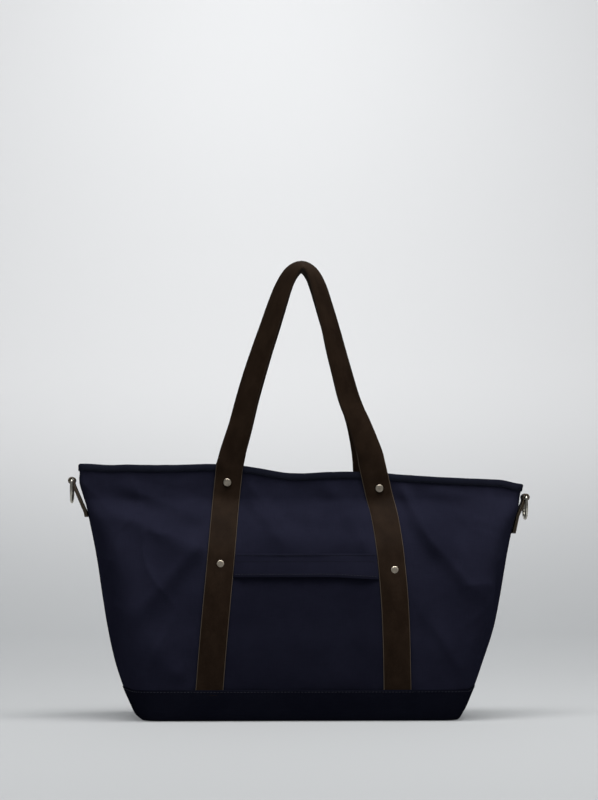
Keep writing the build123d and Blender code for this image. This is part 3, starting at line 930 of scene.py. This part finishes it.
def strapSpots(path, side):
    spots = []
    for i, (x, y, z, twist) in enumerate(path):
        before, after = path[max(i - 1, 0)], path[min(i + 1, len(path) - 1)]
        along = Vector((after[0] - before[0], after[1] - before[1], after[2] - before[2])).normalized()
        facing = Vector((0, side, 0))
        inward = facing.cross(along) * (1 if side > 0 else -1)
        inward = Vector((along.z, 0, -along.x)) if inward.length < 1e-6 else inward.normalized()
        facing = along.cross(inward).normalized()
        if facing.y * side < 0:
            facing = -facing
        turn = radians(twist)
        across = inward * cos(turn) + facing * sin(turn)
        outward = facing * cos(turn) - inward * sin(turn)
        spots.append((Vector((x, y, z)), across, outward))
    return spots


def buildStrap(name, leftLine, rightLine, handleLine, side, body, nodes):
    path = strapPath(leftLine, rightLine, handleLine, side)
    piece = sweepStrip(name, strapSpots(path, side), strap["width"], strap["thickness"])
    paint(piece, "leather")
    y = strapRests(leftLine[-1][1], strap["leaves"], side)
    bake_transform(piece)
    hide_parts(*nodes)


for label, side, line in (("front", -1, frontHandleLine), ("back", 1, backHandleLine)):
    nodes = (label + "_strap_left", label + "_strap_right", label + "_handle")
    left, right = strapLines[label + "Left"], strapLines[label + "Right"]
    buildStrap(label + "Strap", left, right, line, side, label + "_handle", nodes)
print("straps built")

# ring tabs: one strip of leather folded round the ring's bar
ringTab = {
    "leather": 0.0021,
    "width": 0.024,
    "sewn": {-1: 0.006, 1: 0.022},  # how much of it is sewn down, left and right
    "bend": 0.0038,
    "wire": 0.0020,
}


def sideSeam(height, hand):
    return hand * curveAt(bagForm["levels"], height, 1) + curveAt(bagForm["lean"], height)


def buildTab(name, node, ringNode, hand):
    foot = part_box(node)[0].z - 0.006
    ringLow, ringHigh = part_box(ringNode)
    barX, barZ = (ringLow.x + ringHigh.x) / 2, ringHigh.z - ringTab["wire"]
    half = ringTab["leather"] / 2 + 0.00005
    sewn = ringTab["sewn"][hand]
    sewnTop = foot + sewn
    kneeX = sideSeam(sewnTop, hand) + hand * (2 * half + 0.0003)
    length = hypot(barX - kneeX, barZ - sewnTop)
    upX, upZ = (barX - kneeX) / length, (barZ - sewnTop) / length
    outX, outZ = hand * upZ, -hand * upX
    rows = []
    for layer in (1, -1):
        strip = []
        for i in range(4):
            height = foot + sewn * i / 4
            strip.append((sideSeam(height, hand) + hand * (2 * half + 0.0003 + layer * half), height, 0.0))
        for t in (0.0, 0.006, 0.012, length - 0.0068):
            strip.append((kneeX + upX * t + outX * half * layer, sewnTop + upZ * t + outZ * half * layer, 0.0))
        rows += strip if layer > 0 else strip[::-1]
        if layer > 0:
            for i in range(11):
                turn = radians(-145 + 29 * i)
                toUp, toOut = ringTab["bend"] * cos(turn), -ringTab["bend"] * sin(turn)
                rows.append((barX + upX * toUp + outX * toOut, barZ + upZ * toUp + outZ * toOut, 0.0))
    rows = smoothThrough(rows, 4)
    spots = []
    for i, (x, z, _) in enumerate(rows):
        before, after = rows[max(i - 1, 0)], rows[min(i + 1, len(rows) - 1)]
        along = Vector((after[0] - before[0], 0, after[1] - before[1])).normalized()
        across = Vector((0, hand, 0))
        spots.append((Vector((x, 0, z)), across, across.cross(along)))
    tab = sweepStrip(name, spots, ringTab["width"], ringTab["leather"], 3.0)
    settle(tab, "leather", (node,))


buildTab("leftRingTab", "d_ring_tab_left", "d_ring_left", -1)
buildTab("rightRingTab", "d_ring_tab_right", "d_ring_right", 1)
print("ring tabs built")


# stitching
# how far along a stitch, how far out and how thick
stitchForm = [(0.0, -0.5, 0.35), (0.18, 0.25, 0.9), (0.5, 0.45, 1.0), (0.82, 0.25, 0.9), (1.0, -0.5, 0.35)]


def stitchLine(name, path, pitch, stitch, radius, material, slot, body):
    # path is rows of point and outward; each stitch is a short thread that dips at both ends
    runs = lengthsAlong([p for p, out in path])
    points, faces = [], []
    count, index = int(runs[-1] / pitch), 0

    def placeAt(run):
        nonlocal index
        while index < len(runs) - 2 and runs[index + 1] < run:
            index += 1
        share = (run - runs[index]) / max(runs[index + 1] - runs[index], 1e-9)
        (a, outA), (b, outB) = path[index], path[index + 1]
        return a.lerp(b, share), (b - a).normalized(), outA.lerp(outB, share).normalized()

    for number in range(count):
        start = (number + 0.5) * pitch - stitch / 2
        first = len(points)
        for part, lift, size in stitchForm:
            spot, along, out = placeAt(start + part * stitch)
            across = along.cross(out)
            for corner in range(5):
                angle = 2 * pi * corner / 5
                toward = across * cos(angle) + out * sin(angle)
                points.append(spot + out * (radius * lift) + toward * radius * size)
        for r in range(4):
            for c in range(5):
                near, far = first + r * 5, first + (r + 1) * 5
                n = (c + 1) % 5
                faces.append((near + c, near + n, far + n, far + c))
        faces.append(tuple(first + c for c in range(4, -1, -1)))
        faces.append(tuple(first + 20 + c for c in range(5)))
    settle(makePiece(name, points, faces), material, body=body)


def rimStitchPath(side):
    rows = []
    for zone, share in wallColumns(90, 6, 5):
        x = wallSpot(zone, share, bagForm["rimMid"], side, folded=False)[0].x
        spot, level, run = wallSpot(zone, share, rimHeight(x) - 0.0062, side)
        rows.append((spot + level * 0.0014, level))
    return rows


def baseStitchPath(side, height):
    rows = []
    for zone, share in wallColumns(90, 8, 6):
        spot, level, run = wallSpot(zone, share, height, side, folded=False)
        rows.append((spot + level * baseOut(spot.x, height, side, zone), level))
    return rows


def flapStitchPath(height, hem=False):
    rows = []
    for i in range(61):
        x = betweenStraps(height, i / 60, 0.019)
        z = flapLow(x) + 0.0036 if hem else height
        y = -(wallDepth(x, z, -1) + flapOut(x, z) + flap["cloth"] + 0.0001)
        rows.append((Vector((x, y, z)), Vector((0, -0.95, 0.3)).normalized()))
    return rows


seams = {
    # path, pitch, stitch length, thread radius, finish, slot, body
    "frontRimStitches": (rimStitchPath(-1), 0.0042, 0.0031, 0.00034, "thread", "binding", "bag"),
    "frontBaseStitches": (baseStitchPath(-1, 0.0366), 0.0042, 0.0030, 0.00034, "paleThread", "base_canvas", "bag"),
    "backRimStitches": (rimStitchPath(1), 0.0042, 0.0031, 0.00034, "thread", "binding", "bag"),
    "backBaseStitches": (baseStitchPath(1, 0.0366), 0.0042, 0.0030, 0.00034, "paleThread", "base_canvas", "bag"),
    "flapStitches": (flapStitchPath(0.2062), 0.0038, 0.0028, 0.00036, "thread", "canvas", "bag"),
    "flapTuckStitches": (flapStitchPath(0.1985), 0.0038, 0.0028, 0.00030, "thread", "canvas", "pocket_flap"),
    "flapHemStitches": (
        flapStitchPath(0.1840, True), 0.0038, 0.0028, 0.00034, "paleThread", "canvas", "pocket_flap",
    ),
}
for name, values in seams.items():
    stitchLine(name, *values)
print("stitching built")

# zip
zipParts = {
    "pitch": 0.0024,
    "tooth": 0.0013,
    "reach": 0.0027,
    "height": 0.0020,
    "slit": 0.0008,  # half the gap between the rows
    "tape": 0.0006,
    "tapeInner": 0.0026,
}


def zipFrame():
    low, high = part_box("zip_tape_front")
    turn = radians(bagForm["rimTilt"])
    middle = (low + high) / 2
    return Vector((middle.x, 0, middle.z)), Vector((cos(turn), 0, -sin(turn))), Vector((sin(turn), 0, cos(turn)))


def buildTeeth(name, node, side, body, start, end):
    # one tooth with a narrow nose, repeated along the tape
    centre, along, up = zipFrame()
    pitch, reach = zipParts["pitch"], zipParts["reach"]
    bpy.ops.object.select_all(action="DESELECT")
    bpy.ops.mesh.primitive_cube_add(size=1.0)
    teeth = bpy.context.object
    teeth.name = name
    bpy.ops.object.mode_set(mode="EDIT")
    bpy.ops.mesh.select_all(action="SELECT")
    bpy.ops.transform.resize(value=(zipParts["tooth"], 0.9 * reach, zipParts["height"]), center_override=(0, 0, 0))
    bpy.ops.transform.translate(value=(0, -side * 0.1 * reach, 0))
    bpy.ops.mesh.bisect(plane_co=(0, -side * 0.35 * reach, 0), plane_no=(0, side, 0))
    bpy.ops.mesh.select_all(action="DESELECT")
    bpy.ops.object.mode_set(mode="OBJECT")
    for face in teeth.data.polygons:
        face.select = face.normal.y * side < -0.9
    bpy.ops.object.mode_set(mode="EDIT")
    bpy.ops.transform.resize(value=(0.64, 1, 0.75), center_override=(0, -side * 0.55 * reach, 0))
    bpy.ops.object.mode_set(mode="OBJECT")
    teeth.rotation_euler.y = radians(bagForm["rimTilt"])
    teeth.location = centre + along * (start + (0.5 if side > 0 else 0.75) * pitch)
    teeth.location.y = side * (zipParts["slit"] + 0.55 * reach)
    bpy.ops.object.transform_apply(location=True, rotation=True, scale=True)
    repeat = teeth.modifiers.new("row", "ARRAY")
    repeat.count = int((end - start) / pitch)
    repeat.use_relative_offset = False
    repeat.use_constant_offset = True
    repeat.constant_offset_displace = along * pitch
    applyAll(teeth)
    teeth.select_set(True)
    bpy.ops.object.shade_smooth_by_angle(angle=radians(35))
    settle(teeth, "teeth", (node,), body)


def buildTape(name, node, body, sides, start, end, outer):
    centre, along, up = zipFrame()
    points, faces, uvs = [], [], []
    for side in sides:
        first = len(points)
        rows = [zipParts["tapeInner"], 0.0036, 0.006, 0.009, outer - 0.0004, outer]
        count = max(int((end - start) / 0.008), 2)
        for r, across in enumerate(rows):
            for c in range(count + 1):
                at = start + (end - start) * c / count
                rise = 0.0004 * noise.noise(Vector((at * 30, across * 80, side))) if 0 < r < len(rows) - 1 else 0.0
                points.append(centre + along * at + up * rise + Vector((0, side * across, 0)))
                uvs.append((at, side * across))
        faces += [tuple(i + first for i in face) for face in gridFaces(len(rows), count + 1, flip=side < 0)]
    piece = makePiece(name, points, faces, uvs)
    thicken(piece, zipParts["tape"], 0.0)
    settle(piece, "tape", (node,), body)


def zipSpan(node):
    centre, along, up = zipFrame()
    low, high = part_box(node)
    return (low.x - centre.x) / along.x, (high.x - centre.x) / along.x


openLow, openHigh = zipSpan("zip_tape_front")
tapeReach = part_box("zip_tape_back")[1].y
for label, side, body in (("Front", -1, "zip_front"), ("Back", 1, "zip_back")):
    node = label.lower()
    buildTape("zipTape" + label, "zip_tape_" + node, body, (side,), openLow, openHigh, tapeReach)
    buildTeeth("zipTeeth" + label, "zip_teeth_" + node, side, body, openLow, openHigh)
for label in ("Left", "Right"):
    node = label.lower()
    low, high = zipSpan("zip_end_tape_" + node)
    buildTape("zipEndTape" + label, "zip_end_tape_" + node, "bag", (-1, 1), low, high, tapeReach + 0.0005)
    low, high = zipSpan("zip_end_teeth_" + node)
    for side in (-1, 1):
        name = "zipEndTeeth" + label + ("Front" if side < 0 else "Back")
        buildTeeth(name, "zip_end_teeth_" + node, side, "bag", low, high)
print("zip built")

# metal pieces that keep their shape
for node in ("front_rivets", "back_rivets", "front_rivet_washers", "back_rivet_washers"):
    paint(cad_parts[node], "rivet")
for node in ("d_ring_left", "d_ring_right", "zip_slider", "zip_pull", "zip_stops"):
    paint(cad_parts[node], "hardware")

# floor and backdrop
studio = {"width": 22.0, "front": -11.0, "bend": 2.2, "radius": 1.2, "height": 4.5, "below": 0.0002, "glow": 1.0}


def buildBackdrop():
    profile = [(studio["front"], 0.0), (-2.0, 0.0), (0.0, 0.0), (studio["bend"], 0.0)]
    for step in range(1, 13):
        turn = pi / 2 * step / 12
        profile.append((studio["bend"] + studio["radius"] * sin(turn), studio["radius"] * (1 - cos(turn))))
    profile.append((studio["bend"] + studio["radius"], studio["height"]))
    points = [(side * studio["width"] / 2, y, z - studio["below"]) for y, z in profile for side in (-1, 1)]
    backdrop = makePiece("backdrop", points, gridFaces(len(profile), 2, flip=True))
    # the sweep glows: painted light that lifts the bag's shadows on the floor
    fixed = {"Specular IOR Level": 0.2, "Emission Strength": studio["glow"]}
    material, wires, shader = newFinish("paperSweep", fixed)
    place = objectPlace(wires)
    cloud = place.noise(1.5, 2.0)
    # its colour and its glow both grow lighter towards the top
    rise = (place.part(2) + cloud * 0.02).between(-0.1, 0.7)
    tone = rise.blended((0.33, 0.34, 0.347), (0.60, 0.605, 0.612))
    glow = rise.blended((0.150, 0.155, 0.158), (0.235, 0.237, 0.240))
    connect(shader, tone, 0.85 + cloud * 0.08, glow=glow)
    backdrop.data.materials.append(material)


buildBackdrop()

lights = {
    # place, size, power, colour
    "overhead": ((0.18, -0.50, 2.5), (2.2, 1.2), 78.0, (1.0, 0.99, 0.98)),
    "right": ((2.0, -2.2, 2.2), (1.4, 1.4), 13.0, (1.0, 1.0, 1.0)),
    "left": ((-2.1, -1.6, 2.5), (1.2, 1.2), 6.0, (0.97, 0.98, 1.0)),
    "backdrop": ((0.0, 1.9, 2.0), (0.6, 1.0), 17.0, (1.0, 1.0, 1.0)),
}
for name, (place, size, power, colour) in lights.items():
    data = bpy.data.lights.new(name, "AREA")
    data.shape = "RECTANGLE"
    data.size, data.size_y = size
    data.energy = power
    data.color = colour
    lamp = bpy.data.objects.new(name, data)
    bpy.context.collection.objects.link(lamp)
    lamp.location = place
    target = Vector((0.0, 3.4, 0.8)) if name == "backdrop" else Vector((0.0, 0.0, 0.2))
    lamp.rotation_euler = (target - Vector(place)).to_track_quat("-Z", "Y").to_euler()

world = bpy.data.worlds.new("studio")
bpy.context.scene.world = world
world.use_nodes = True
air = world.node_tree.nodes["Background"]
air.inputs["Color"].default_value = (0.80, 0.84, 0.90, 1)
air.inputs["Strength"].default_value = 0.11
bpy.context.scene.view_settings.view_transform = "Standard"

# camera
view = {"azimuth": -2.0, "distance": 3.0, "height": 0.23, "aim": (-0.0025, 0.0, 0.4055), "lens": 104.9}
turn = radians(view["azimuth"])
cameraData = bpy.data.cameras.new("camera")
cameraData.lens = view["lens"]
cameraData.sensor_width = 36.0
cameraData.clip_end = 50.0
camera = bpy.data.objects.new("camera", cameraData)
bpy.context.collection.objects.link(camera)
camera.location = (sin(turn) * view["distance"], -cos(turn) * view["distance"], view["height"])
camera.rotation_euler = (Vector(view["aim"]) - camera.location).to_track_quat("-Z", "Y").to_euler()
bpy.context.scene.camera = camera

print("done")
